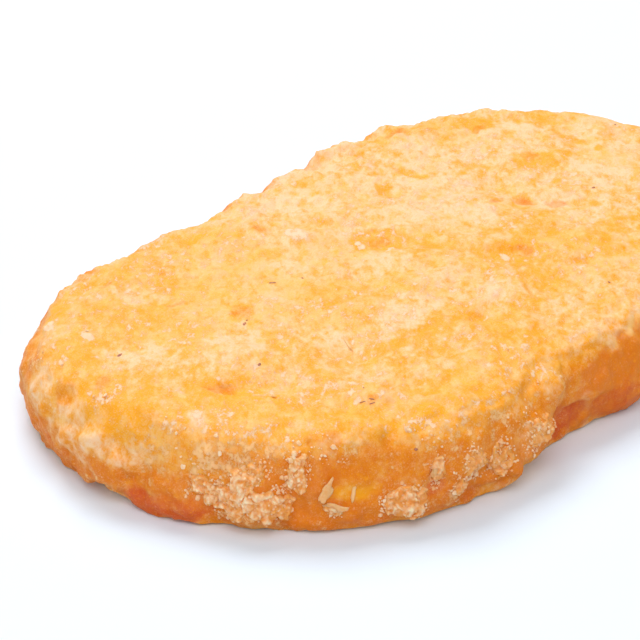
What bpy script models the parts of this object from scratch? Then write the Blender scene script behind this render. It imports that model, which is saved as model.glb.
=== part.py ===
"""A hash brown: one fried patty of shredded potato, lying flat.

Metres, +Z up. The origin is at the middle of the underside's box, +X runs along the
patty, and the patty rests on z = 0. It is one solid: an oblong with a slight waist in
both long sides, a rounded rim, and the lumps, hollows and torn edges of its crust.
"""
import math
import random
from dataclasses import dataclass

import bmesh
import bpy
import numpy as np
from mathutils import Vector, noise

# Driving dimensions.
LENGTH = 0.119
WIDTH = 0.0714
THICKNESS = 0.0126

# Plan outline: a superellipse, drawn in a little at the middle of each long side.
SQUARENESS = 2.6
WAIST_SHARE = 0.05
WAIST_SPAN = 0.0227
SWELL_SPAN_DEG = 14.0

# Side profile: a quarter ellipse from the belly up to the top, and one down to the foot.
BELLY_HEIGHT = 0.0052
RIM_DEPTH = 0.0062
FOOT_DEPTH = 0.0016

# Relief of the crust, as heights of its bumps and sizes of their cells.
TOP_WAVE_HEIGHT = 0.00035
TOP_WAVE_SIZE = 0.017
BIG_LUMP_HEIGHT = 0.0010
BIG_LUMP_SIZE = 0.0085
SMALL_LUMP_HEIGHT = 0.0008
SMALL_LUMP_SIZE = 0.0048
TOP_LUMP_SHARE = 0.3
TEAR_HEIGHT = 0.0007
TEAR_SIZE = 0.0062
FLAKE_COUNT = 120
FLAKE_LENGTHS = (0.005, 0.012)
FLAKE_WIDTHS = (0.003, 0.0055)
FLAKE_HEIGHTS = (-0.00042, 0.00048)
FLAKE_SEED = 31
CRAG_EDGE = (0.65, 1.15)
LUMP_REACH = 0.8
DENT_DEPTH = 0.0008
DENT_SIZE = 0.0115
DENT_EDGE = (0.05, 0.45)
DENT_SHIFT = (0.0073, 0.0021, 0.0059)

# Mesh density. The flatter underside has half as many cells each way.
CELLS_LONG = 64
CELLS_WIDE = 36
RIM_STEPS = 6
FOOT_STEPS = 4
OUTLINE_SAMPLES = 2400

# Crust finish.
CRUST_COLOUR = (0.86, 0.50, 0.16, 1.0)
CRUST_ROUGHNESS = 0.55


@dataclass(frozen=True)
class Swell:
    """A stretch of the side that stands out from the plain oblong, or in if negative."""

    angle_deg: float
    height: float


@dataclass(frozen=True)
class Crag:
    """A raised chunk of crust, or a hollow where the height is negative."""

    name: str
    centre: tuple
    length: float
    width: float
    turn_deg: float
    height: float


SWELLS = (
    Swell(20, -0.0011),
    Swell(60, 0.0006),
    Swell(90, -0.0005),
    Swell(115, -0.0023),
    Swell(136, 0.0002),
    Swell(155, 0.0007),
    Swell(180, 0.0004),
    Swell(200, -0.0015),
    Swell(228, 0.0017),
    Swell(250, -0.0017),
    Swell(266, 0.0013),
    Swell(284, 0.0007),
)

CRAGS = (
    Crag("back_left_chunk", (-0.0365, 0.0285, 0.0105), 0.016, 0.007, 12, 0.0004),
    Crag("back_left_notch", (-0.0465, 0.0250, 0.0090), 0.005, 0.006, 20, -0.0012),
    Crag("back_rim_block", (-0.0190, 0.0305, 0.0105), 0.009, 0.006, -4, 0.0006),
    Crag("back_rim_tooth", (-0.0035, 0.0305, 0.0105), 0.006, 0.006, 0, 0.0007),
    Crag("back_rim_step", (0.0075, 0.0310, 0.0105), 0.007, 0.006, 6, 0.0006),
    Crag("back_rim_ledge", (0.0180, 0.0315, 0.0105), 0.009, 0.006, 6, 0.0006),
    Crag("far_rim_knob", (0.0285, 0.0305, 0.0105), 0.005, 0.006, 0, 0.0006),
    Crag("front_flap", (-0.0210, -0.0335, 0.0050), 0.008, 0.008, -6, 0.0012),
    Crag("flap_recess", (-0.0135, -0.0335, 0.0040), 0.006, 0.007, 0, -0.0010),
    Crag("front_lump", (-0.0160, -0.0325, 0.0095), 0.006, 0.004, 4, 0.0010),
    Crag("front_corner_bump", (-0.0272, -0.0346, 0.0025), 0.006, 0.006, 10, 0.0012),
    Crag("front_knob", (-0.0390, -0.0310, 0.0020), 0.005, 0.004, 35, 0.0008),
    Crag("near_shelf", (-0.0583, -0.0085, 0.0012), 0.010, 0.010, 80, 0.0016),
    Crag("near_undercut", (-0.0590, 0.0040, 0.0010), 0.009, 0.009, 90, -0.0012),
    Crag("crumb_bank", (-0.0520, -0.0165, 0.0045), 0.012, 0.008, 60, 0.0007),
    Crag("top_gouge", (-0.0430, -0.0085, 0.0120), 0.009, 0.0045, -38, -0.0008),
    Crag("top_pit", (-0.0095, -0.0170, 0.0120), 0.005, 0.004, 0, -0.0008),
    Crag("top_flake", (-0.0080, 0.0130, 0.0120), 0.008, 0.006, -40, 0.0004),
    Crag("top_ridge", (-0.0400, 0.0210, 0.0120), 0.014, 0.005, 20, 0.0005),
    Crag("far_trough", (0.0240, -0.0030, 0.0120), 0.014, 0.006, -45, -0.0006),
    Crag("amber_hollow", (0.0070, -0.0105, 0.0120), 0.010, 0.007, -45, -0.0006),
    Crag("middle_hollow", (-0.0035, 0.0060, 0.0120), 0.009, 0.006, -45, -0.0005),
)


def smooth_step(low: float, high: float, value: float) -> float:
    """Return 0 below low, 1 above high, and an S-curve between them."""
    share = min(max((value - low) / (high - low), 0.0), 1.0)
    return share * share * (3.0 - 2.0 * share)


def outline_point(angle: float) -> tuple:
    """Return (x, y) on the belly's outline at one parameter angle."""
    cosine, sine = math.cos(angle), math.sin(angle)
    power = 2.0 / SQUARENESS
    x = LENGTH / 2 * math.copysign(abs(cosine) ** power, cosine)
    y = WIDTH / 2 * math.copysign(abs(sine) ** power, sine)
    y *= 1.0 - WAIST_SHARE * math.exp(-((x / WAIST_SPAN) ** 2))
    heading = math.degrees(math.atan2(y, x))
    swell = 0.0
    for bump in SWELLS:
        apart = (heading - bump.angle_deg + 180.0) % 360.0 - 180.0
        swell += bump.height * math.exp(-((apart / SWELL_SPAN_DEG) ** 2))
    stretch = 1.0 + swell / math.hypot(x, y)
    return x * stretch, y * stretch


def even_outline(count: int) -> tuple:
    """Return count evenly spaced points of the outline, and their outward normals."""
    angles = np.linspace(0.0, 2.0 * math.pi, OUTLINE_SAMPLES + 1)
    dense = np.array([outline_point(angle) for angle in angles])
    steps = np.linalg.norm(np.diff(dense, axis=0), axis=1)
    travelled = np.concatenate(([0.0], np.cumsum(steps)))
    wanted = np.linspace(0.0, travelled[-1], count, endpoint=False)
    points = np.stack([np.interp(wanted, travelled, dense[:, axis]) for axis in (0, 1)], axis=1)
    along = np.roll(points, -2, axis=0) - np.roll(points, 2, axis=0)
    along /= np.linalg.norm(along, axis=1)[:, None]
    normals = np.stack([along[:, 1], -along[:, 0]], axis=1)
    return points, normals


def side_profile() -> list:
    """Return (height, inset, rise angle) of each ring of the side, from foot to top."""
    rings = []
    for step in range(FOOT_STEPS):
        angle = math.pi / 2 * (step / FOOT_STEPS - 1.0)
        height = BELLY_HEIGHT * (1.0 + math.sin(angle))
        rings.append((height, FOOT_DEPTH * (1.0 - math.cos(angle)), 0.0))
    for step in range(RIM_STEPS + 1):
        angle = math.pi / 2 * step / RIM_STEPS
        height = BELLY_HEIGHT + (THICKNESS - BELLY_HEIGHT) * math.sin(angle)
        rings.append((height, RIM_DEPTH * (1.0 - math.cos(angle)), angle))
    return rings


def side_ring(points: np.ndarray, normals: np.ndarray, height: float, inset: float) -> list:
    """Return one ring of the side as points, drawn in from the outline by the inset."""
    flat = points - normals * inset
    return [Vector((x, y, height)) for x, y in flat]


def patch(ring: list, cells_long: int, cells_wide: int) -> dict:
    """Fill a ring with a grid of points, blended from its four sides.

    The ring starts at the middle of the +X end and runs counter-clockwise.
    Returns the points by (column, row), the ring's own among them.
    """
    count = len(ring)
    half_wide = cells_wide // 2

    def right(row: int) -> Vector:
        return ring[(row - half_wide) % count]

    def left(row: int) -> Vector:
        return ring[half_wide + cells_long + cells_wide - row]

    def top(column: int) -> Vector:
        return ring[half_wide + cells_long - column]

    def bottom(column: int) -> Vector:
        return ring[(column - cells_long - half_wide) % count]

    grid = {}
    for column in range(cells_long + 1):
        for row in range(cells_wide + 1):
            u, v = column / cells_long, row / cells_wide
            across = (1 - v) * bottom(column) + v * top(column)
            along = (1 - u) * left(row) + u * right(row)
            low = (1 - u) * bottom(0) + u * bottom(cells_long)
            high = (1 - u) * top(0) + u * top(cells_long)
            grid[column, row] = across + along - ((1 - v) * low + v * high)
    return grid


def ring_index(column: int, row: int, cells_long: int, cells_wide: int):
    """Return a grid point's place in the ring that it was filled from, or None inside."""
    half_wide = cells_wide // 2
    count = 2 * (cells_long + cells_wide)
    if column == cells_long:
        return (row - half_wide) % count
    if row == cells_wide:
        return half_wide + cells_long - column
    if column == 0:
        return half_wide + cells_long + cells_wide - row
    if row == 0:
        return (column - cells_long - half_wide) % count
    return None


def lumps(point: Vector, size: float) -> float:
    """Return 0 to 1: rounded lumps of about the given size, with creases between them."""
    distance = noise.voronoi(point / size)[0][0]
    return max(0.0, 1.0 - (distance / LUMP_REACH) ** 2)


def scattered_flakes() -> tuple:
    """Scatter the low flakes and hollows of the top face, each longer than it is wide."""
    draw = random.Random(FLAKE_SEED)
    flakes = []
    for number in range(FLAKE_COUNT):
        x = draw.uniform(-LENGTH / 2, LENGTH / 2)
        y = draw.uniform(-WIDTH / 2, WIDTH / 2)
        length = draw.uniform(*FLAKE_LENGTHS)
        width = draw.uniform(*FLAKE_WIDTHS)
        turn = draw.uniform(0.0, 180.0)
        height = draw.choice(FLAKE_HEIGHTS) * draw.uniform(0.6, 1.0)
        flakes.append(Crag(f"flake_{number}", (x, y, THICKNESS), length, width, turn, height))
    return tuple(flakes)


ALL_CRAGS = CRAGS + scattered_flakes()


def crag_height(point: Vector) -> float:
    """Return the height that the crags and flakes add at a point."""
    total = 0.0
    for crag in ALL_CRAGS:
        away = point - Vector(crag.centre)
        turn = math.radians(crag.turn_deg)
        along = away.x * math.cos(turn) + away.y * math.sin(turn)
        across = away.y * math.cos(turn) - away.x * math.sin(turn)
        reach = math.hypot(along / crag.length, across / crag.width, away.z / crag.width) * 2
        total += crag.height * (1.0 - smooth_step(*CRAG_EDGE, reach))
    return total


def relief(point: Vector, rise: float) -> float:
    """Return the crust's height over the plain patty.

    Args:
        point: a point of the plain patty.
        rise: 0 on the side and pi / 2 on the top.
    """
    side = math.cos(rise)
    share = TOP_LUMP_SHARE + (1.0 - TOP_LUMP_SHARE) * side
    wave = noise.noise(point / TOP_WAVE_SIZE) * TOP_WAVE_HEIGHT
    big = (lumps(point, BIG_LUMP_SIZE) - 0.5) * BIG_LUMP_HEIGHT
    small = (lumps(point, SMALL_LUMP_SIZE) - 0.5) * SMALL_LUMP_HEIGHT
    tear = noise.noise(point / TEAR_SIZE) * TEAR_HEIGHT * side
    return wave + (big + small) * share + tear + crag_height(point)


def dent(point: Vector) -> float:
    """Return the height of the shallow hollows in the underside, 0 where it touches."""
    ground = noise.noise((point + Vector(DENT_SHIFT)) / DENT_SIZE)
    return DENT_DEPTH * smooth_step(*DENT_EDGE, ground)


def roughened(ring: list, normals: np.ndarray, rise: float) -> list:
    """Return a ring of the side with the crust's relief, never below the ground."""
    outward = math.cos(rise)
    moved = []
    for point, normal in zip(ring, normals):
        way = Vector((normal[0] * outward, normal[1] * outward, math.sin(rise)))
        spot = point + way * relief(point, rise)
        spot.z = max(spot.z, 0.0)
        moved.append(spot)
    return moved


def add_side(mesh: bmesh.types.BMesh, points: np.ndarray, normals: np.ndarray) -> list:
    """Add the side's rings and faces, and return the rings' vertices from the foot up."""
    rings = []
    for height, inset, rise in side_profile():
        plain = side_ring(points, normals, height, inset)
        rings.append([mesh.verts.new(spot) for spot in roughened(plain, normals, rise)])
    count = len(points)
    for lower, upper in zip(rings, rings[1:]):
        for here in range(count):
            after = (here + 1) % count
            mesh.faces.new((lower[here], lower[after], upper[after], upper[here]))
    return rings


def add_top(mesh: bmesh.types.BMesh, plain: list, rim: list) -> None:
    """Fill the top inside its rim, with the crust's relief."""
    grid = {}
    for place, point in patch(plain, CELLS_LONG, CELLS_WIDE).items():
        index = ring_index(*place, CELLS_LONG, CELLS_WIDE)
        if index is None:
            lift = Vector((0.0, 0.0, relief(point, math.pi / 2)))
            grid[place] = mesh.verts.new(point + lift)
        else:
            grid[place] = rim[index]
    for column in range(CELLS_LONG):
        for row in range(CELLS_WIDE):
            mesh.faces.new((
                grid[column, row], grid[column + 1, row],
                grid[column + 1, row + 1], grid[column, row + 1],
            ))


def add_underside(mesh: bmesh.types.BMesh, foot: list) -> None:
    """Fill the underside at half the density, flat but for a few shallow dents."""
    cells_long, cells_wide = CELLS_LONG // 2, CELLS_WIDE // 2
    middle = Vector((0.0, 0.0, 0.0))
    for vertex in foot:
        middle += vertex.co / len(foot)
    shrink = 1.0 - 2.0 / CELLS_WIDE
    inner_ring = [middle + (vertex.co - middle) * shrink for vertex in foot[::2]]
    ring = [mesh.verts.new(spot) for spot in inner_ring]
    grid = {}
    for place, point in patch(inner_ring, cells_long, cells_wide).items():
        index = ring_index(*place, cells_long, cells_wide)
        if index is None:
            lift = Vector((0.0, 0.0, dent(point)))
            grid[place] = mesh.verts.new(point + lift)
        else:
            grid[place] = ring[index]
    for column in range(cells_long):
        for row in range(cells_wide):
            mesh.faces.new((
                grid[column, row], grid[column, row + 1],
                grid[column + 1, row + 1], grid[column + 1, row],
            ))
    for here in range(len(ring)):
        after = (here + 1) % len(ring)
        near, halfway, far = foot[2 * here], foot[2 * here + 1], foot[(2 * here + 2) % len(foot)]
        mesh.faces.new((near, ring[here], halfway))
        mesh.faces.new((halfway, ring[here], ring[after]))
        mesh.faces.new((halfway, ring[after], far))


def fit_to_box(mesh: bmesh.types.BMesh) -> None:
    """Centre the patty over the origin and give its box exactly the driving dimensions."""
    spots = np.array([vertex.co for vertex in mesh.verts])
    low, high = spots.min(axis=0), spots.max(axis=0)
    scale = np.array((LENGTH, WIDTH, THICKNESS)) / (high - low)
    anchor = np.array(((low[0] + high[0]) / 2, (low[1] + high[1]) / 2, low[2]))
    for vertex, spot in zip(mesh.verts, (spots - anchor) * scale):
        vertex.co = spot


def crust_material() -> bpy.types.Material:
    """Make the golden fried crust."""
    material = bpy.data.materials.new("fried_crust")
    material.use_nodes = True
    shader = material.node_tree.nodes["Principled BSDF"]
    shader.inputs["Base Color"].default_value = CRUST_COLOUR
    shader.inputs["Roughness"].default_value = CRUST_ROUGHNESS
    shader.inputs["Metallic"].default_value = 0.0
    return material


def make_hash_brown() -> bpy.types.Object:
    """Model the patty as one closed solid."""
    points, normals = even_outline(2 * (CELLS_LONG + CELLS_WIDE))
    mesh = bmesh.new()
    rings = add_side(mesh, points, normals)
    top_height, top_inset, _ = side_profile()[-1]
    add_top(mesh, side_ring(points, normals, top_height, top_inset), rings[-1])
    add_underside(mesh, rings[0])
    fit_to_box(mesh)
    bmesh.ops.triangulate(mesh, faces=mesh.faces[:], quad_method="SHORT_EDGE")
    bmesh.ops.recalc_face_normals(mesh, faces=mesh.faces[:])

    data = bpy.data.meshes.new("hash_brown")
    mesh.to_mesh(data)
    mesh.free()
    data.shade_smooth()
    data.materials.append(crust_material())
    patty = bpy.data.objects.new("hash_brown", data)
    bpy.context.scene.collection.objects.link(patty)
    return patty


for leftover in list(bpy.data.objects):
    bpy.data.objects.remove(leftover, do_unlink=True)
make_hash_brown()
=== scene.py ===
"""A fried hash brown patty, dressed: rough golden crust, crumbs, flakes and specks.

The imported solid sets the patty's form and place. The crust is modelled over it at full
detail, and everything that clings to the crust is a piece of its own. Lengths named in
the classes below are millimetres; meshes are in metres, +X along the patty, +Z up.
"""
from __future__ import annotations

import itertools
import logging
import math
from dataclasses import dataclass
from enum import Enum

import bpy
import numpy as np
from mathutils import Matrix, Vector
from mathutils.bvhtree import BVHTree

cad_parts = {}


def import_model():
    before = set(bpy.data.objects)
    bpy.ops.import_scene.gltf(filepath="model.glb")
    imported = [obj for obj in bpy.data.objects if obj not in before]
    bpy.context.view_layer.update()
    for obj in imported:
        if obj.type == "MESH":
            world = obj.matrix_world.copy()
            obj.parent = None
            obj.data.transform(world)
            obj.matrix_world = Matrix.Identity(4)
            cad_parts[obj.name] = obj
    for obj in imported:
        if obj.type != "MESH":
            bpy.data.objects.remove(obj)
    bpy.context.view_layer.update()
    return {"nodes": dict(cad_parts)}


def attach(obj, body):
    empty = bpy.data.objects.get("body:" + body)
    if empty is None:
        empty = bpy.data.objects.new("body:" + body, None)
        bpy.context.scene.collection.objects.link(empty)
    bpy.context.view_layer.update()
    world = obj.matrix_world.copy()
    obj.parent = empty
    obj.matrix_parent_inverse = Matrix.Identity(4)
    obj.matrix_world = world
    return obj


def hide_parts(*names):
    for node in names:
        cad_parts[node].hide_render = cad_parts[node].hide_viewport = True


Array = np.ndarray
Piece = bpy.types.Object
Material = bpy.types.Material

MM = 0.001
NODE = "hash_brown"
BODY = "root"
RIM_HEIGHT = 10.2

log = logging.getLogger("hash_brown")


# ---------------- maths on many points

def ease(low: float, high: float, value: Array) -> Array:
    """Return 0 below low and 1 above high, with an S-curve between them.

    Args:
        low: where the curve leaves 0.
        high: where it reaches 1.
        value: the values to map.

    Returns:
        The mapped values, 0 to 1.
    """
    share = np.clip((value - low) / (high - low), 0.0, 1.0)
    return share * share * (3.0 - 2.0 * share)


class Grain:
    """Seeded noise in space, worked out for many points at once."""

    TABLE = 4096
    OCTAVE_SHIFT = 31.7

    def __init__(self, seed: int) -> None:
        """Draw the tables that the noise reads."""
        draw = np.random.default_rng(seed)
        self.order = draw.permutation(self.TABLE)
        self.values = draw.random((self.TABLE, 4))

    def slots(self, lattice: Array) -> Array:
        """Return the row of the table that belongs to each lattice point."""
        last = self.TABLE - 1
        slot = self.order[lattice[:, 0] & last]
        slot = self.order[(slot + lattice[:, 1]) & last]
        return self.order[(slot + lattice[:, 2]) & last]

    def smooth(self, points: Array, size: float) -> Array:
        """Return soft noise, 0 to 1.

        Args:
            points: places, one to a row.
            size: the distance between bumps, in the points' unit.

        Returns:
            One value for each point.
        """
        scaled = points / size
        base = np.floor(scaled).astype(int)
        part = scaled - base
        part = part * part * (3.0 - 2.0 * part)
        total = np.zeros(len(points))
        for corner in itertools.product((0, 1), repeat=3):
            weight = np.prod(np.where(corner, part, 1.0 - part), axis=1)
            total += weight * self.values[self.slots(base + np.array(corner)), 0]
        return total

    def fractal(self, points: Array, size: float, octaves: int) -> Array:
        """Return noise with ever finer detail, 0 to 1 about 0.5.

        Args:
            points: places, one to a row.
            size: the size of its largest bumps.
            octaves: how many times finer bumps are added.

        Returns:
            One value for each point.
        """
        total = np.zeros(len(points))
        reach, share = 0.0, 1.0
        for octave in range(octaves):
            shifted = points + octave * self.OCTAVE_SHIFT
            total += share * self.smooth(shifted, size / 2 ** octave)
            reach += share
            share *= 0.55
        return total / reach

    def warp(self, points: Array, size: float, reach: float) -> Array:
        """Return the points pushed about by soft noise.

        Args:
            points: places, one to a row.
            size: the size of the push's bumps.
            reach: how far a point moves at most, about.

        Returns:
            The moved points.
        """
        pushes = [self.fractal(points + 57.3 * axis, size, 2) - 0.5 for axis in (1, 2, 3)]
        return points + np.stack(pushes, axis=1) * 2.0 * reach

    def cells(self, points: Array, size: float) -> tuple:
        """Divide space into irregular cells.

        Args:
            points: places, one to a row.
            size: the size of a cell.

        Returns:
            The distance to the nearest cell's middle, the distance to the nearest border
            (both as shares of the size), and each cell's own random value.
        """
        scaled = points / size
        base = np.floor(scaled).astype(int)
        near = np.full(len(points), np.inf)
        second = near.copy()
        own = np.zeros(len(points))
        for step in itertools.product((-1, 0, 1), repeat=3):
            cell = base + np.array(step)
            slot = self.slots(cell)
            away = np.linalg.norm(scaled - cell - self.values[slot, :3], axis=1)
            closer = away < near
            second = np.where(closer, near, np.minimum(second, away))
            own = np.where(closer, self.values[slot, 3], own)
            near = np.where(closer, away, near)
        return near, second - near, own

    def pebbles(self, points: Array, size: float, fill: float = 0.62) -> Array:
        """Return rounded bumps, 0 in the creases and 1 on top.

        Args:
            points: places, one to a row.
            size: the size of a bump.
            fill: how far a bump reaches from its middle, as a share of the size.

        Returns:
            One height for each point.
        """
        near, _, _ = self.cells(points, size)
        return np.clip(1.0 - (near / fill) ** 2, 0.0, 1.0)


# ---------------- marks on the crust

class Tone(Enum):
    """What a mark does to the crust's colour. The value names the mesh attribute."""

    CREAM = "cream"
    AMBER = "amber"
    YOLK = "yolk"
    # Toast: browning from the frying, and on the walls painted shade as well.
    TOAST_AND_SIDE_SHADE = "toast_and_side_shade"
    # Scorch: dark browning from the pan, and near the foot painted shade as well.
    SCORCH_AND_FOOT_SHADE = "scorch_and_foot_shade"
    DUST = "dust"


CREAM, AMBER, YOLK, TOAST_AND_SIDE_SHADE, SCORCH_AND_FOOT_SHADE, DUST = Tone
COLOURS = (CREAM, AMBER, YOLK, TOAST_AND_SIDE_SHADE, SCORCH_AND_FOOT_SHADE)


class Patch:
    """A rounded part of the patty whose edge is torn by noise."""

    CORE = 0.62
    FRINGE = 1.22

    x: float
    y: float
    z: float
    length: float
    width: float
    height: float
    turn: float

    def mask(self, points: Array, ragged: Array) -> Array:
        """Return how much each point belongs to the patch.

        Args:
            points: places in millimetres, one to a row.
            ragged: noise about 0 that tears the patch's edge.

        Returns:
            0 to 1 for each point.
        """
        turn = math.radians(self.turn)
        away = points - np.array((self.x, self.y, self.z))
        along = away[:, 0] * math.cos(turn) + away[:, 1] * math.sin(turn)
        across = away[:, 1] * math.cos(turn) - away[:, 0] * math.sin(turn)
        reach = np.sqrt(
            (2.0 * along / self.length) ** 2
            + (2.0 * across / self.width) ** 2
            + (2.0 * away[:, 2] / self.height) ** 2
        )
        return 1.0 - ease(self.CORE, self.FRINGE, reach + ragged)


@dataclass(frozen=True)
class Mark(Patch):
    """A patch of the crust with its own tone and height."""

    FAINTEST = 0.38
    GAIN = 0.55

    tone: Tone
    x: float
    y: float
    length: float
    width: float
    turn: float = 0.0
    strength: float = 1.0
    lift: float = 0.0
    z: float = 12.0
    height: float = 9.0

    @property
    def goal(self) -> float:
        """Return the tone's value at the mark's middle."""
        return self.FAINTEST + self.GAIN * self.strength

    @property
    def clearing(self) -> float:
        """Return how much frosting a mark on the side takes away, 0 to 1."""
        return (0.5 if self.tone is CREAM else 0.8) * self.strength


@dataclass(frozen=True)
class Swell(Patch):
    """A place where the crust stands out or back a little from the solid."""

    x: float
    y: float
    length: float
    width: float
    turn: float
    lift: float
    z: float
    height: float


@dataclass(frozen=True)
class CrumbBank(Patch):
    """A heap of crumbs, or a patch of frosting, that clings to the patty."""

    FAINTEST = 0.36
    GAIN = 0.34

    x: float
    y: float
    z: float
    length: float
    width: float
    height: float
    turn: float
    density: float

    @property
    def goal(self) -> float:
        """Return the frosting's value at the bank's middle."""
        return self.FAINTEST + self.GAIN * self.density


TOP_MARKS = (
    # The far back edge, from the near end along to the far end.
    Mark(YOLK, -43.8, 25.2, 8.5, 4.0, 38, 1.0, 0.15),
    Mark(YOLK, -38.0, 26.8, 5.5, 3.0, 10, 0.8),
    Mark(DUST, -47.5, 22.6, 4.0, 2.0, 35, 0.8, 0.15),
    Mark(TOAST_AND_SIDE_SHADE, -35.5, 24.4, 3.0, 1.4, 15, 0.5),
    Mark(AMBER, -30.0, 25.8, 6.0, 3.0, 10, 0.5),
    Mark(YOLK, -17.2, 25.6, 4.2, 2.4, 0, 0.9, -0.2),
    Mark(AMBER, -21.5, 26.6, 8.0, 4.0, 0, 0.6),
    Mark(TOAST_AND_SIDE_SHADE, -9.8, 20.6, 2.4, 3.2, 10, 0.5, -0.15),
    Mark(YOLK, -11.0, 27.4, 3.5, 1.3, 5, 0.6),
    Mark(AMBER, 6.0, 27.2, 5.5, 4.5, 0, 0.5),
    Mark(AMBER, 24.0, 29.5, 5.0, 3.5, -20, 0.7),
    Mark(TOAST_AND_SIDE_SHADE, 27.8, 28.2, 5.0, 2.6, -10, 0.55),
    Mark(AMBER, 31.0, 27.0, 4.0, 2.5, -30, 0.6),
    Mark(AMBER, 38.0, 21.0, 7.0, 5.5, -35, 0.95),
    Mark(TOAST_AND_SIDE_SHADE, 36.5, 20.0, 3.5, 2.0, 10, 0.4, -0.2),
    Mark(AMBER, 46.0, 15.5, 8.0, 5.0, -40, 0.6),
    # The middle of the top.
    Mark(CREAM, -8.3, 16.0, 5.6, 3.4, 62, 1.2, 0.3),
    Mark(DUST, -8.3, 16.0, 5.0, 2.8, 62, 0.8),
    Mark(CREAM, -3.0, 22.5, 13.0, 8.0, 25, 0.55),
    Mark(CREAM, -34.0, 20.0, 9.0, 8.0, 40, 0.5),
    Mark(AMBER, -30.0, 19.5, 6.0, 6.0, 80, 0.45),
    Mark(AMBER, -40.5, 20.5, 6.0, 9.0, 0, 0.5),
    Mark(TOAST_AND_SIDE_SHADE, -33.2, 14.2, 2.6, 1.2, -15, 0.6, -0.12),
    Mark(CREAM, 24.5, 20.5, 12.0, 9.0, 70, 0.7),
    Mark(CREAM, 36.0, 12.0, 12.0, 6.0, 20, 0.6),
    Mark(CREAM, 14.5, 2.2, 10.0, 7.0, 35, 0.8),
    Mark(CREAM, 36.0, -3.5, 9.0, 10.0, 35, 0.75),
    Mark(CREAM, 46.0, 4.0, 8.0, 8.0, 30, 0.4),
    Mark(AMBER, 11.8, 17.2, 5.5, 3.2, 40, 0.75, -0.15),
    Mark(AMBER, 18.3, 17.0, 6.0, 2.0, 80, 0.8, -0.15),
    Mark(YOLK, 18.8, 15.6, 2.2, 1.2, 80, 0.6),
    Mark(AMBER, 33.5, 6.5, 6.0, 7.5, 60, 1.0, -0.15),
    Mark(TOAST_AND_SIDE_SHADE, 34.0, 8.5, 4.0, 3.0, 60, 0.35),
    Mark(YOLK, 29.8, 0.6, 3.4, 1.6, 25, 0.75),
    Mark(YOLK, 42.8, 2.4, 2.4, 1.6, 25, 0.75),
    Mark(TOAST_AND_SIDE_SHADE, 19.5, 3.0, 3.8, 1.6, -5, 0.75, -0.15),
    Mark(TOAST_AND_SIDE_SHADE, 22.3, 0.2, 4.6, 3.0, -45, 0.8, -0.25),
    Mark(TOAST_AND_SIDE_SHADE, 24.5, -3.2, 4.0, 2.2, -40, 0.65, -0.2),
    Mark(AMBER, 27.0, -6.5, 5.0, 2.6, -70, 0.6, -0.15),
    Mark(AMBER, -1.2, 6.8, 8.5, 6.5, -30, 1.0, -0.3),
    Mark(TOAST_AND_SIDE_SHADE, -1.4, 7.2, 3.6, 3.0, 0, 0.6, -0.15),
    Mark(DUST, -3.9, 8.2, 2.6, 1.5, 50, 1.0, 0.2),
    Mark(DUST, -2.2, 4.4, 2.6, 1.2, 30, 0.7, 0.1),
    Mark(AMBER, 8.0, -9.6, 8.5, 7.5, -45, 1.05, -0.3),
    Mark(TOAST_AND_SIDE_SHADE, 9.4, -9.2, 3.4, 3.0, 0, 0.6, -0.15),
    Mark(DUST, 6.6, -8.1, 2.6, 1.4, 50, 1.0, 0.2),
    Mark(AMBER, 16.5, -9.0, 7.0, 2.4, 15, 0.8, -0.15),
    Mark(AMBER, 20.5, -14.0, 9.0, 5.0, 35, 0.6),
    Mark(AMBER, -29.2, 6.6, 4.8, 7.0, -15, 0.55, -0.12),
    Mark(TOAST_AND_SIDE_SHADE, -29.4, 6.4, 3.4, 4.6, -15, 0.4),
    Mark(CREAM, -36.0, 1.0, 9.0, 8.0, 30, 0.75),
    Mark(CREAM, -27.5, -7.0, 8.0, 9.0, -30, 0.6),
    Mark(CREAM, -14.0, -9.0, 10.0, 8.0, 20, 0.8),
    Mark(CREAM, -2.5, -13.5, 8.0, 5.0, 10, 0.6),
    Mark(CREAM, -6.0, 1.0, 9.0, 5.0, 15, 0.5),
    Mark(AMBER, -19.0, -1.0, 6.0, 1.8, -5, 0.7, -0.12),
    Mark(YOLK, -9.6, -16.4, 3.6, 1.8, 10, 1.0, -0.45),
    Mark(AMBER, -17.0, -14.2, 5.0, 1.6, -10, 0.7, -0.15),
    Mark(AMBER, -23.0, -14.0, 3.0, 1.6, 20, 0.7, -0.1),
    Mark(YOLK, -27.8, -14.2, 2.0, 1.0, 20, 0.7, -0.1),
    # The near end, more golden all over.
    Mark(AMBER, -57.0, 2.0, 14.0, 9.0, 80, 0.8),
    Mark(YOLK, -58.5, 4.5, 6.0, 4.0, 60, 0.7),
    Mark(TOAST_AND_SIDE_SHADE, -53.5, 6.4, 3.5, 2.4, 30, 0.4),
    Mark(TOAST_AND_SIDE_SHADE, -56.3, 10.9, 5.0, 4.5, 60, 0.45, 0.0, 9.8, 5.0),
    Mark(AMBER, -50.0, 14.0, 10.0, 7.0, 50, 0.5),
    Mark(CREAM, -56.0, 14.5, 6.0, 4.0, 45, 0.5, 0.15),
    Mark(DUST, -46.8, 16.4, 3.0, 1.4, 80, 0.9, 0.12),
    Mark(AMBER, -46.8, -3.6, 7.0, 4.5, -30, 0.75, -0.2),
    Mark(TOAST_AND_SIDE_SHADE, -44.9, -4.8, 4.2, 2.2, -45, 0.95, -0.45),
    Mark(YOLK, -43.4, -8.6, 8.0, 4.0, -65, 0.6),
    Mark(AMBER, -42.0, -14.5, 9.0, 7.0, -50, 0.7),
    Mark(CREAM, -52.0, -8.0, 4.0, 2.2, 60, 0.8, 0.15),
    Mark(YOLK, -33.2, -27.4, 8.0, 4.2, -18, 0.95, -0.15),
    Mark(AMBER, -36.5, -25.0, 5.0, 3.5, -10, 0.7),
    Mark(AMBER, -26.0, -22.5, 14.0, 6.0, 15, 0.4),
    Mark(TOAST_AND_SIDE_SHADE, -36.0, -21.0, 3.0, 1.6, 35, 0.5, -0.1),
)

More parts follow.
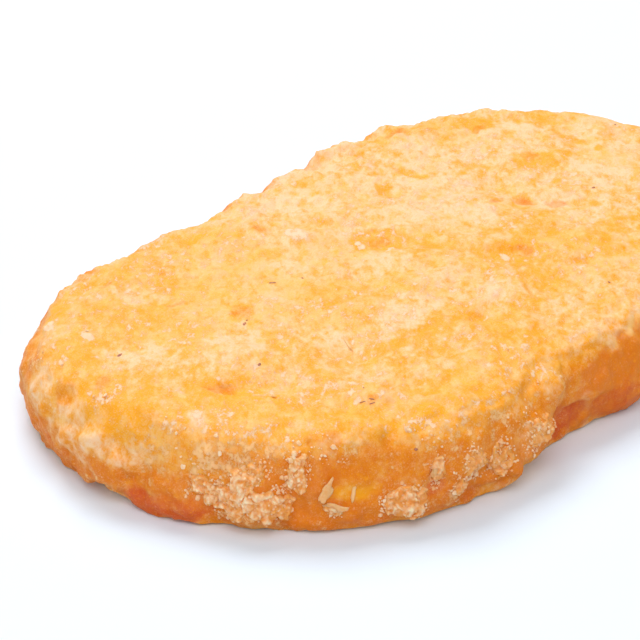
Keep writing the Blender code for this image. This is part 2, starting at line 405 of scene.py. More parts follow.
WALL_MARKS = (
    # The side facing the near end and the front, from the near end round to the far one. Their
    # toast and scorch marks are partly fried browning and partly painted shade of walls that face
    # away from the key light.
    Mark(SCORCH_AND_FOOT_SHADE, -59.5, 13.5, 7.0, 6.0, 75, 0.45, 0.0, 3.2, 2.6),
    Mark(CREAM, -57.5, 16.0, 9.0, 7.0, 65, 0.6, 0.0, 8.5, 6.0),
    Mark(CREAM, -59.0, 7.0, 12.0, 8.0, 85, 0.6, 0.1, 7.0, 7.0),
    Mark(CREAM, -59.5, -1.0, 11.0, 8.0, 90, 0.65, 0.0, 7.2, 4.0),
    Mark(SCORCH_AND_FOOT_SHADE, -58.4, -8.3, 15.5, 9.0, 100, 0.95, -0.25, 1.9, 5.2),
    Mark(TOAST_AND_SIDE_SHADE, -57.5, -9.5, 10.0, 9.0, 105, 0.7, -0.1, 4.2, 4.6),
    Mark(TOAST_AND_SIDE_SHADE, -50.0, -22.0, 12.0, 9.0, 126, 0.9, -0.15, 6.0, 12.0),
    Mark(TOAST_AND_SIDE_SHADE, -46.5, -23.0, 6.0, 7.0, 130, 0.6, 0.0, 10.5, 4.0),
    Mark(AMBER, -45.5, -27.0, 7.0, 7.0, 132, 0.9, -0.35, 5.6, 2.2),
    Mark(TOAST_AND_SIDE_SHADE, -40.0, -30.5, 10.0, 7.0, 145, 0.5, -0.1, 6.4, 3.0),
    Mark(SCORCH_AND_FOOT_SHADE, -37.5, -32.5, 6.0, 7.0, 155, 0.5, -0.15, 4.2, 2.4),
    Mark(TOAST_AND_SIDE_SHADE, -29.0, -34.5, 13.0, 8.0, 172, 0.65, 0.0, 5.0, 6.5),
    Mark(CREAM, -21.8, -34.6, 5.5, 7.0, 178, 0.3, 0.35, 5.2, 6.0),
    Mark(SCORCH_AND_FOOT_SHADE, -15.2, -33.8, 6.0, 8.0, 170, 1.0, -0.6, 3.8, 5.6),
    Mark(CREAM, -16.2, -32.6, 6.5, 4.0, 175, 0.4, 0.4, 9.6, 2.8),
    Mark(TOAST_AND_SIDE_SHADE, -1.5, -33.5, 26.0, 10.0, 185, 1.0, 0.0, 5.2, 13.0),
    Mark(SCORCH_AND_FOOT_SHADE, -2.0, -34.5, 20.0, 8.0, 185, 0.3, 0.0, 2.6, 6.0),
    Mark(CREAM, -8.5, -33.4, 3.0, 4.0, 180, 0.5, 0.1, 5.6, 1.8),
    Mark(SCORCH_AND_FOOT_SHADE, -12.6, -33.0, 9.0, 8.0, 178, 0.65, -0.3, 3.2, 5.2),
)

SWELLS = (
    # The near end, the far back rim, and the front.
    Swell(-58.9, 3.5, 13.0, 8.0, 90, 1.1, 4.6, 7.0),
    Swell(-58.4, -5.0, 7.0, 7.0, 96, 0.45, 0.8, 4.2),
    Swell(-57.6, 6.4, 9.0, 7.0, 84, 0.6, 1.6, 4.6),
    Swell(-52.5, -19.5, 11.0, 7.0, 125, 0.4, 1.0, 5.0),
    Swell(-58.0, 12.0, 9.0, 7.0, 75, -0.4, 8.5, 6.0),
    Swell(-31.7, 29.9, 10.0, 6.0, 5, -0.7, 11.5, 6.0),
    Swell(15.0, 30.0, 12.0, 7.0, 5, -1.4, 11.0, 8.0),
    Swell(26.5, 30.0, 5.0, 6.0, -15, -0.5, 11.5, 5.0),
    Swell(-5.0, 31.0, 7.0, 6.0, 5, -0.4, 11.5, 5.0),
    Swell(49.5, 15.5, 14.0, 7.0, -55, 0.3, 11.5, 6.0),
    Swell(-22.0, -35.4, 6.0, 7.0, 180, -0.8, 4.5, 8.0),
    Swell(-30.0, -33.9, 8.0, 6.0, 165, -0.9, 2.5, 6.0),
    Swell(-6.0, -33.5, 9.0, 7.0, 180, -0.6, 2.5, 6.0),
)

CRUMB_BANKS = (
    # The near end and the front, from the near end round to the far one.
    CrumbBank(-56.2, -11.6, 5.6, 4.5, 8.0, 3.0, 104, 0.6),
    CrumbBank(-54.6, -15.0, 4.8, 6.0, 8.0, 4.8, 115, 1.0),
    CrumbBank(-52.4, -19.4, 4.2, 5.6, 8.0, 4.0, 127, 1.0),
    CrumbBank(-53.2, -16.6, 7.6, 5.0, 7.0, 2.6, 118, 0.4),
    CrumbBank(-49.6, -20.9, 8.0, 2.8, 7.0, 5.2, 125, 0.9),
    CrumbBank(-46.8, -24.6, 3.4, 2.5, 6.0, 1.6, 125, 0.6),
    CrumbBank(-40.4, -30.2, 3.7, 5.2, 7.0, 3.6, 142, 1.0),
    CrumbBank(-36.1, -31.3, 6.4, 1.7, 6.0, 3.8, 148, 1.0),
    CrumbBank(-33.4, -32.5, 3.0, 2.6, 6.0, 3.6, 155, 0.9),
    CrumbBank(-31.0, -33.0, 6.0, 5.0, 6.0, 4.0, 160, 0.35),
    CrumbBank(-27.7, -34.1, 5.5, 4.0, 6.0, 4.0, 165, 0.35),
    CrumbBank(-21.0, -35.0, 6.5, 5.0, 6.0, 5.0, 178, 0.35),
    # The sides that face away.
    CrumbBank(52.0, 20.0, 4.5, 12.0, 7.0, 5.0, -55, 0.8),
    CrumbBank(20.0, 34.0, 5.5, 12.0, 6.0, 5.0, 0, 0.8),
    CrumbBank(-22.0, 32.5, 5.0, 9.0, 6.0, 4.0, 5, 0.8),
    CrumbBank(34.0, -33.0, 5.0, 12.0, 6.0, 4.5, 15, 0.8),
    CrumbBank(58.0, -6.0, 5.5, 9.0, 7.0, 4.0, 95, 0.7),
    CrumbBank(47.0, -24.0, 9.0, 6.0, 5.0, 3.0, 40, 0.6),
    CrumbBank(-45.0, 27.5, 4.5, 6.0, 6.0, 4.0, 35, 0.7),
)

FROST_BANKS = (
    # Flat frosting on the top, from the near end to the middle.
    CrumbBank(-55.3, 4.4, 11.4, 3.2, 1.8, 5.0, 75, 0.8),
    CrumbBank(-53.5, 18.3, 11.4, 3.0, 1.6, 3.0, 55, 0.4),
    CrumbBank(-52.7, 14.2, 11.6, 2.6, 1.3, 5.0, 50, 0.6),
    CrumbBank(-46.6, 16.3, 11.9, 2.6, 1.4, 5.0, 80, 0.7),
    CrumbBank(-51.6, -7.7, 11.5, 3.2, 2.0, 5.0, 60, 0.9),
    CrumbBank(-54.2, -5.8, 11.1, 4.0, 2.8, 5.0, 50, 0.6),
    CrumbBank(-48.8, -9.5, 11.5, 2.8, 1.3, 5.0, 60, 0.6),
    CrumbBank(-43.4, -3.0, 11.8, 1.7, 1.0, 5.0, 40, 0.9),
    CrumbBank(-41.4, -14.9, 11.7, 2.8, 1.8, 5.0, 50, 0.9),
    CrumbBank(-47.9, -18.2, 11.2, 2.0, 1.4, 5.0, 50, 0.8),
    CrumbBank(-44.9, -21.1, 11.3, 3.0, 1.4, 5.0, 70, 0.7),
    CrumbBank(-36.8, -19.0, 11.7, 1.5, 1.1, 5.0, 40, 1.0),
    CrumbBank(-32.4, -22.8, 11.8, 1.6, 1.1, 5.0, 40, 0.9),
    CrumbBank(-34.0, -28.7, 11.3, 2.2, 1.5, 5.0, 60, 0.8),
    CrumbBank(-36.6, -27.1, 11.0, 1.4, 1.1, 5.0, 40, 0.8),
    CrumbBank(-14.5, -24.4, 11.9, 3.2, 1.4, 5.0, 80, 0.7),
    CrumbBank(-13.6, -27.1, 11.9, 2.8, 1.6, 5.0, 60, 0.7),
    CrumbBank(-17.7, -17.9, 11.9, 2.0, 1.2, 5.0, 40, 0.6),
    CrumbBank(-35.4, -4.1, 12.0, 2.4, 0.9, 5.0, 45, 0.5),
    CrumbBank(-15.0, -32.0, 10.4, 9.0, 5.0, 3.0, 178, 0.3),
    CrumbBank(-50.0, -15.0, 10.2, 12.0, 7.0, 4.0, 125, 0.45),
    CrumbBank(-53.4, -13.6, 8.6, 11.0, 6.0, 5.0, 115, 0.75),
    CrumbBank(-44.0, -24.0, 9.6, 7.0, 5.0, 3.0, 130, 0.4),
    CrumbBank(-24.0, -32.0, 9.4, 7.0, 4.0, 3.0, 170, 0.2),
    CrumbBank(-34.0, -29.5, 9.8, 6.0, 5.0, 4.0, 150, 0.3),
)


# ---------------- shader expressions

class Wire:
    """A shader value that can be added, subtracted, multiplied and mixed in Python."""

    def __init__(self, tree: ShaderTree, socket: bpy.types.NodeSocket) -> None:
        """Wrap one output socket of a node tree."""
        self.tree = tree
        self.socket = socket

    def _math(self, operation: str, first: object, second: object = 0.0) -> Wire:
        """Add a Math node and return its result."""
        made = self.tree.node("ShaderNodeMath", {"operation": operation}, {0: first, 1: second})
        return made.out()

    def __add__(self, other: object) -> Wire:
        """Return the sum."""
        return self._math("ADD", self, other)

    def __radd__(self, other: object) -> Wire:
        """Return the sum, with the plain number first."""
        return self._math("ADD", other, self)

    def __sub__(self, other: object) -> Wire:
        """Return the difference."""
        return self._math("SUBTRACT", self, other)

    def __rsub__(self, other: object) -> Wire:
        """Return the difference, with the plain number first."""
        return self._math("SUBTRACT", other, self)

    def __mul__(self, other: object) -> Wire:
        """Return the product."""
        return self._math("MULTIPLY", self, other)

    def __rmul__(self, other: object) -> Wire:
        """Return the product, with the plain number first."""
        return self._math("MULTIPLY", other, self)

    def ramp(self, low: float, high: float, start: float = 0.0, end: float = 1.0) -> Wire:
        """Return the value eased from low..high to start..end, and held outside it."""
        made = self.tree.node(
            "ShaderNodeMapRange",
            {"interpolation_type": "SMOOTHSTEP"},
            {"Value": self, "From Min": low, "From Max": high, "To Min": start, "To Max": end},
        )
        return made.out("Result")

    def clamp(self) -> Wire:
        """Return the value held between 0 and 1."""
        made = self.tree.node("ShaderNodeClamp", {}, {"Value": self, "Min": 0.0, "Max": 1.0})
        return made.out("Result")


class Made:
    """A node just added, with easy access to its outputs."""

    def __init__(self, tree: ShaderTree, node: bpy.types.Node) -> None:
        """Keep the node and its tree."""
        self.tree = tree
        self.node = node

    def out(self, name: object = 0) -> Wire:
        """Return one output by name or number."""
        return Wire(self.tree, self.node.outputs[name])


class ShaderTree:
    """The node tree of one material."""

    def __init__(self, name: str) -> None:
        """Make an empty material of that name."""
        self.material = bpy.data.materials.new(name)
        self.material.use_nodes = True
        self.tree = self.material.node_tree
        self.tree.nodes.clear()

    def node(self, kind: str, settings: dict, sockets: dict) -> Made:
        """Add a node.

        Args:
            kind: the node's type.
            settings: properties of the node, set before its sockets.
            sockets: values or wires, by socket name or number.

        Returns:
            The node, ready to give its outputs.
        """
        made = self.tree.nodes.new(kind)
        for key, value in settings.items():
            setattr(made, key, value)
        for key, value in sockets.items():
            if isinstance(value, Wire):
                self.tree.links.new(value.socket, made.inputs[key])
            else:
                made.inputs[key].default_value = value
        return Made(self, made)

    def attribute(self, name: str) -> Wire:
        """Return one of the mesh's own number attributes."""
        return self.node("ShaderNodeAttribute", {"attribute_name": name}, {}).out("Fac")

    def place(self) -> Wire:
        """Return the point in the patty's frame, in millimetres."""
        spot = self.node("ShaderNodeTexCoord", {}, {}).out("Object")
        scaled = self.node(
            "ShaderNodeMapping", {"vector_type": "POINT"},
            {"Vector": spot, "Scale": (1.0 / MM, 1.0 / MM, 1.0 / MM)},
        )
        return scaled.out("Vector")

    def shifted(self, place: Wire, reach: float) -> Wire:
        """Return the place moved, so that a second noise differs from the first."""
        made = self.node(
            "ShaderNodeVectorMath", {"operation": "ADD"}, {0: place, 1: (reach, -reach, reach)},
        )
        return made.out()

    def stretched(self, place: Wire, turn: float, stretch: float) -> Wire:
        """Return the place with one level direction drawn out, as the potato's shreds lie.

        Args:
            place: the point in millimetres.
            turn: that direction's angle, in degrees, from +Y.
            stretch: how many times longer a texture becomes that way.

        Returns:
            The place, turned and drawn out.
        """
        made = self.node(
            "ShaderNodeMapping", {"vector_type": "TEXTURE"},
            {
                "Vector": place,
                "Rotation": (0.0, 0.0, math.radians(turn)),
                "Scale": (1.0, stretch, 1.0),
            },
        )
        return made.out("Vector")

    def noise(self, place: Wire, size: float, detail: float, rough: float = 0.5) -> Wire:
        """Return soft noise, its bumps size millimetres apart."""
        made = self.node(
            "ShaderNodeTexNoise", {},
            {"Vector": place, "Scale": 1.0 / size, "Detail": detail, "Roughness": rough},
        )
        return made.out("Fac")

    def cells(self, place: Wire, size: float) -> tuple:
        """Return the distance to the nearest grain's middle, and that grain's own number."""
        made = self.node(
            "ShaderNodeTexVoronoi", {"feature": "F1"}, {"Vector": place, "Scale": 1.0 / size},
        )
        split = self.node("ShaderNodeSeparateColor", {}, {"Color": made.out("Color")})
        return made.out("Distance"), split.out(0)

    def blend(self, factor: object, first: object, second: object) -> Wire:
        """Return the first colour mixed towards the second."""
        made = self.node(
            "ShaderNodeMix", {"data_type": "RGBA", "blend_type": "MIX", "clamp_factor": True},
            {0: factor, 6: first, 7: second},
        )
        return made.out(2)

    def bump(self, height: Wire, depth: float, strength: float) -> Wire:
        """Return the normal of a fine relief, depth millimetres high."""
        made = self.node(
            "ShaderNodeBump", {},
            {"Height": height, "Distance": depth * MM, "Strength": strength},
        )
        return made.out("Normal")

    def surface(self, sockets: dict) -> Material:
        """Close the tree with a Principled surface and return the material."""
        shader = self.node("ShaderNodeBsdfPrincipled", {}, sockets)
        self.node("ShaderNodeOutputMaterial", {}, {"Surface": shader.out("BSDF")})
        return self.material


# ---------------- finishes

@dataclass(frozen=True)
class CrustFinish:
    """The mottled fried crust. The colours are linear."""

    gold: tuple = (0.94, 0.46, 0.064, 1.0)
    butter: tuple = (0.94, 0.53, 0.170, 1.0)
    cream: tuple = (0.94, 0.61, 0.36, 1.0)
    amber: tuple = (0.94, 0.375, 0.004, 1.0)
    yolk: tuple = (0.94, 0.39, 0.001, 1.0)
    # Toast colour: fried browning, made darker on the walls as painted shade.
    toast_and_side_shade: tuple = (0.75, 0.172, 0.002, 1.0)
    # Scorch colour: dark browning, and painted shade at the foot of the walls.
    scorch_and_foot_shade: tuple = (0.66, 0.078, 0.010, 1.0)
    haze: tuple = (0.91, 0.45, 0.14, 1.0)
    frost: tuple = (0.95, 0.66, 0.46, 1.0)
    # Frost where the crust is toasted: a warmer, darker painted-shade copy of the frost for the
    # walls.
    warm_shaded_frost: tuple = (0.95, 0.565, 0.26, 1.0)
    roughness: float = 0.56
    subsurface: float = 0.3
    subsurface_reach: float = 0.5
    glow: tuple = (1.0, 0.6, 0.35)
    specular: float = 0.14
    bump_depth: float = 0.16
    bump_strength: float = 0.6
    shred_turn: float = -48.0
    shred_stretch: float = 1.7

    def make(self) -> Material:
        """Build the crust's material."""
        tree = ShaderTree("fried_crust")
        place = tree.place()
        tones = {tone: tree.attribute(tone.value) for tone in Tone}
        shreds = tree.stretched(place, self.shred_turn, self.shred_stretch)
        cloud = tree.noise(place, 3.2, 6.0, 0.65)
        ragged = tree.noise(shreds, 1.9, 8.0, 0.7)
        other = tree.noise(tree.shifted(shreds, 40.0), 1.5, 8.0, 0.7)
        fleck = tree.noise(shreds, 0.55, 4.0, 0.7)
        powder = tree.noise(place, 0.2, 2.0, 0.6)

        def patch(tone: Tone, edge: Wire, reach: float, soft: float, share: float) -> Wire:
            """Return where a tone shows, its edge torn by noise."""
            field = tones[tone] + (edge - 0.5) * reach
            return field.ramp(0.5 - soft, 0.5 + soft, 0.0, share)

        cream = patch(CREAM, ragged, 3.6, 0.42, 0.95)
        base = tree.blend(cloud.ramp(0.36, 0.64), self.gold, self.butter)
        base = tree.blend(cream, base, self.cream)
        base = tree.blend(patch(AMBER, other, 3.6, 0.42, 0.95), base, self.amber)
        base = tree.blend(patch(YOLK, ragged, 2.0, 0.3, 0.85), base, self.yolk)
        # Toast lays on the browning and, on the walls, painted shade.
        base = tree.blend(patch(TOAST_AND_SIDE_SHADE, other, 1.1, 0.4, 0.9), base, self.toast_and_side_shade)
        # Scorch darkens the foot of the walls: browning and painted shade together.
        base = tree.blend(patch(SCORCH_AND_FOOT_SHADE, ragged, 0.9, 0.4, 0.9), base, self.scorch_and_foot_shade)

        torn = tree.noise(tree.shifted(shreds, 80.0), 0.95, 8.0, 0.76)
        haze = patch(DUST, torn, 3.0, 0.28, 0.5)
        frost = (tones[DUST] + (torn - 0.5) * 3.4).ramp(0.58, 0.7)
        # Frost on the walls takes its painted-shade copy.
        pale = tree.blend(tones[TOAST_AND_SIDE_SHADE].ramp(0.1, 0.36), self.frost, self.warm_shaded_frost)
        base = tree.blend(haze, base, self.haze)
        base = tree.blend(fleck.ramp(0.46, 0.3, 0.0, 0.4), base, self.amber)
        dusty = tones[DUST].ramp(0.0, 0.3, 0.2, 1.0)
        base = tree.blend(fleck.ramp(0.54, 0.7, 0.0, 0.35) * dusty, base, self.cream)
        base = tree.blend(frost * 0.8, base, pale)
        base = tree.blend(powder.ramp(0.45, 0.25, 0.0, 0.3), base, self.amber)
        base = tree.blend(powder.ramp(0.52, 0.75, 0.0, 0.42) * dusty, base, pale)

        height = cream * 0.3 + haze * 0.3 + frost * 0.4 + fleck * 0.7 + powder * 0.4
        return tree.surface({
            "Base Color": base,
            "Roughness": (self.roughness + frost * 0.2 - tones[AMBER] * 0.14).clamp(),
            "Normal": tree.bump(height, self.bump_depth, self.bump_strength),
            "Subsurface Weight": self.subsurface,
            "Subsurface Radius": self.glow,
            "Subsurface Scale": self.subsurface_reach * MM,
            "Specular IOR Level": self.specular,
        })


@dataclass(frozen=True)
class CrumbFinish:
    """Crumbs: pale at their tips, and like the crust where they grow out of it."""

    name: str
    pale: tuple = (0.95, 0.72, 0.47, 1.0)
    gold: tuple = (0.90, 0.47, 0.13, 1.0)
    # Toast colour for crumbs on toasted crust, carrying the walls' painted shade onto them.
    toast_and_side_shade: tuple = (0.86, 0.33, 0.05, 1.0)
    roughness: float = 0.5
    subsurface: float = 0.6
    subsurface_reach: float = 0.5
    glow: tuple = (1.0, 0.75, 0.5)
    specular: float = 0.5
    bump_depth: float = 0.1
    bump_strength: float = 0.35

    def make(self) -> Material:
        """Build the material."""
        tree = ShaderTree(self.name)
        place = tree.place()
        sunk = tree.attribute("sunk")
        warm = tree.attribute("warm")
        speck = tree.noise(place, 0.5, 4.0, 0.6)
        away, own = tree.cells(place, 0.34)
        share = (sunk + speck.ramp(0.3, 0.7, -0.25, 0.25) + (own - 0.5) * 0.35).clamp()
        root = tree.blend(warm, self.gold, self.toast_and_side_shade)
        return tree.surface({
            "Base Color": tree.blend(share, self.pale, root),
            "Roughness": (self.roughness + speck * 0.3 - 0.15).clamp(),
            "Normal": tree.bump(
                own + speck * 0.6 - away * 0.6, self.bump_depth, self.bump_strength
            ),
            "Subsurface Weight": self.subsurface,
            "Subsurface Radius": self.glow,
            "Subsurface Scale": self.subsurface_reach * MM,
            "Specular IOR Level": self.specular,
        })


@dataclass(frozen=True)
class SpeckFinish:
    """Burnt bits and dark eyes of potato skin."""

    dark: tuple = (0.36, 0.11, 0.07, 1.0)
    brown: tuple = (0.60, 0.24, 0.09, 1.0)
    roughness: float = 0.6
    subsurface: float = 0.1
    subsurface_reach: float = 0.1

    def make(self) -> Material:
        """Build the material."""
        tree = ShaderTree("dark_speck")
        speck = tree.noise(tree.place(), 0.4, 3.0, 0.6)
        return tree.surface({
            "Base Color": tree.blend(speck.ramp(0.4, 0.65), self.dark, self.brown),
            "Roughness": self.roughness,
            "Subsurface Weight": self.subsurface,
            "Subsurface Scale": self.subsurface_reach * MM,
        })


@dataclass(frozen=True)
class FloorFinish:
    """A plain pale floor, a little cool to offset the warm light that the patty throws."""

    pale: tuple = (0.76, 0.85, 0.95, 1.0)
    glow: tuple = (1.0, 1.0, 1.0, 1.0)
    glow_strength: float = 0.03
    roughness: float = 0.9
    specular: float = 0.1

    def make(self) -> Material:
        """Build the material."""
        return ShaderTree("white_floor").surface({
            "Base Color": self.pale,
            "Roughness": self.roughness,
            "Emission Color": self.glow,
            "Emission Strength": self.glow_strength,
            "Specular IOR Level": self.specular,
        })


# ---------------- modelling helpers

def deselect_all() -> None:
    """Leave object mode with nothing selected."""
    if bpy.context.object and bpy.context.object.mode != "OBJECT":
        bpy.ops.object.mode_set(mode="OBJECT")
    bpy.ops.object.select_all(action="DESELECT")


def make_active(piece: Piece) -> None:
    """Select one object alone and make it the active one."""
    deselect_all()
    piece.select_set(True)
    bpy.context.view_layer.objects.active = piece


def add_mesh(name: str, points: Array, faces: Array) -> Piece:
    """Make an object from points in metres and triangles."""
    mesh = bpy.data.meshes.new(name)
    mesh.from_pydata(points.tolist(), [], faces.tolist())
    mesh.validate()
    piece = bpy.data.objects.new(name, mesh)
    bpy.context.scene.collection.objects.link(piece)
    return piece


def write_attribute(piece: Piece, name: str, values: Array) -> None:
    """Store one number for each vertex."""
    layer = piece.data.attributes.new(name, "FLOAT", "POINT")
    layer.data.foreach_set("value", values.astype(np.float32))


def vertex_array(piece: Piece, key: str) -> Array:
    """Return the vertices' co or normal, one to a row."""
    found = np.empty(len(piece.data.vertices) * 3, np.float32)
    piece.data.vertices.foreach_get(key, found)
    return found.reshape(-1, 3).astype(float)


def subdivide(piece: Piece, levels: int) -> None:
    """Round a mesh off, splitting each face in four at every level."""
    make_active(piece)
    rounder = piece.modifiers.new("rounder", "SUBSURF")
    rounder.levels = levels
    rounder.render_levels = levels
    bpy.ops.object.modifier_apply(modifier="rounder")


def regrid(piece: Piece, voxel: float) -> None:
    """Rebuild an object's surface on an even grid, melting what overlaps into one.

    Args:
        piece: the object, changed in place.
        voxel: the grid's step in millimetres.
    """
    make_active(piece)
    grid = piece.modifiers.new("grid", "REMESH")
    grid.mode = "VOXEL"
    grid.voxel_size = voxel * MM
    bpy.ops.object.modifier_apply(modifier="grid")
    piece.data.shade_smooth()


def ico_sphere(subdivisions: int) -> tuple:
    """Model a ball of radius 1 and return its points and triangles."""
    deselect_all()
    bpy.ops.mesh.primitive_ico_sphere_add(subdivisions=subdivisions, radius=1.0)
    ball = bpy.context.object
    points = vertex_array(ball, "co")
    triangles = np.array([face.vertices[:] for face in ball.data.polygons])
    mesh = ball.data
    bpy.data.objects.remove(ball)
    bpy.data.meshes.remove(mesh)
    return points, triangles


class Batch:
    """Many small shapes, gathered into one mesh."""

    def __init__(self) -> None:
        """Start with no shapes."""
        self.parts, self.triangles, self.count = [], [], 0

    def add(self, points: Array, triangles: Array) -> None:
        """Add a shape, its points in millimetres."""
        self.parts.append(points)
        self.triangles.append(triangles + self.count)
        self.count += len(points)

    def make(self, name: str, lowest: float = -1.0) -> Piece:
        """Make the object.

        Args:
            name: its name.
            lowest: the height in millimetres that no point lies below.

        Returns:
            The object, with no material yet.
        """
        points = np.concatenate(self.parts)
        points[:, 2] = np.maximum(points[:, 2], lowest)
        return add_mesh(name, points * MM, np.concatenate(self.triangles))


def surface_tree(piece: Piece) -> BVHTree:
    """Return a search tree over a piece's faces."""
    return BVHTree.FromPolygons(
        [vertex.co for vertex in piece.data.vertices],
        [face.vertices for face in piece.data.polygons],
    )


def facing(up: Vector, turn: float) -> Array:
    """Return the axes of a thing that lies on a slope, as the columns of a matrix.

    Args:
        up: the slope's normal.
        turn: the angle, in degrees, of the thing's length from the slope's level line.

    Returns:
        A 3 x 3 matrix: length, width and height.
    """
    level = Vector((0.0, 0.0, 1.0)).cross(up)
    if level.length < 0.3:
        level = Vector((1.0, 0.0, 0.0))
    level = (level - up * level.dot(up)).normalized()
    rising = up.cross(level)
    angle = math.radians(turn)
    along = level * math.cos(angle) + rising * math.sin(angle)
    return np.array((along, up.cross(along), up)).T


def settle(piece: Piece, material: Material) -> None:
    """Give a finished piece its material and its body."""
    piece.data.materials.clear()
    piece.data.materials.append(material)
    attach(piece, BODY)
    log.info("%s: %d faces", piece.name, len(piece.data.polygons))


# ---------------- the crust

@dataclass
class ToneMap:
    """How much of each tone there is at any place on the patty."""

    seed: int = 11

    def __post_init__(self) -> None:
        """Make the noise."""
        self.grain = Grain(self.seed)

    def ragged(self, points: Array) -> Array:
        """Return the noise that tears the marks' edges."""
        return (self.grain.fractal(points, 2.0, 3) - 0.5) * 1.1

    def frost(self, points: Array, side: Array) -> Array:
        """Return how much pale, crumbly frosting there is at each point."""
        grain = self.grain
        rim = ease(3.0, 0.0, np.abs(points[:, 2] - RIM_HEIGHT))
        loose = ease(0.45, 0.65, grain.fractal(points + 5.0, 5.0, 3))
        small = ease(0.45, 0.62, grain.fractal(points + 61.0, 2.6, 3))
        near = ease(-5.0, -45.0, points[:, 0])
        frost = 0.19 + 0.22 * loose + 0.04 * near + 0.02 * rim + side * (0.14 * small - 0.06)
        ragged = (grain.fractal(points + 33.0, 1.8, 3) - 0.5) * 1.6
        for bank in CRUMB_BANKS + FROST_BANKS:
            frost = np.maximum(frost, bank.goal * bank.mask(points, ragged))
        return frost

    def at(self, points: Array, up: Array) -> dict:
        """Work out the tones.

        Args:
            points: places in millimetres, one to a row.
            up: how far each place faces up, -1 to 1.

        Returns:
            One value for each point, 0 to 1, by tone.
        """
        grain = self.grain
        top = ease(0.3, 0.8, up) * ease(7.0, 11.0, points[:, 2])
        under = ease(0.4, 0.9, -up)
        side = np.clip(1.0 - top - under, 0.0, 1.0)
        broad = grain.fractal(points + 11.0, 9.0, 2)
        other = grain.fractal(points + 23.0, 8.0, 2)
        nearness = ease(10.0, -55.0, points[:, 0])
        front = ease(10.0, -30.0, points[:, 1])
        low = ease(9.5, 2.5, points[:, 2])
        slope = ease(0.97, 0.75, up) * ease(6.5, 9.5, points[:, 2])
        end = ease(-53.0, -56.5, points[:, 0]) * ease(5.5, 8.5, points[:, 2])
        # Toast is real browning, and on the sides painted shade too: walls drawn darker, more so
        # low down, and less at the near end's upper side.
        side_shade_and_toast = side * (0.56 + 0.3 * low) + 0.12 * top + 0.35 * under + 0.28 * slope
        tones = {
            CREAM: (0.6 - 0.22 * nearness - 0.1 * front + 0.95 * (broad - 0.5)) * (1.0 - side),
            AMBER: 0.26 + 0.2 * nearness + 0.18 * front + 1.05 * (other - 0.5) + 0.16 * side,
            YOLK: (0.2 + 0.08 * nearness + 0.5 * (0.5 - broad)) * top,
            TOAST_AND_SIDE_SHADE: side_shade_and_toast * (1.0 - 0.6 * end),
            # Scorch on the sides grows towards the foot: partly browning, partly painted shade.
            SCORCH_AND_FOOT_SHADE: side * (0.15 + 0.18 * ease(4.5, 0.5, points[:, 2])),
            DUST: self.frost(points, side),
        }
        ragged = self.ragged(points)
        for mark in TOP_MARKS + WALL_MARKS:
            mask = mark.mask(points, ragged)
            for tone in COLOURS:
                if tone is not mark.tone:
                    tones[tone] = tones[tone] * (1.0 - 0.7 * mask * mark.strength)
            if mark in WALL_MARKS:
                tones[DUST] = tones[DUST] * (1.0 - np.minimum(mark.clearing * mask, 0.9))
            tones[mark.tone] = np.maximum(tones[mark.tone], mark.goal * mask)
        tones[TOAST_AND_SIDE_SHADE] = tones[TOAST_AND_SIDE_SHADE] * (1.0 - 0.28 * top)
        return tones


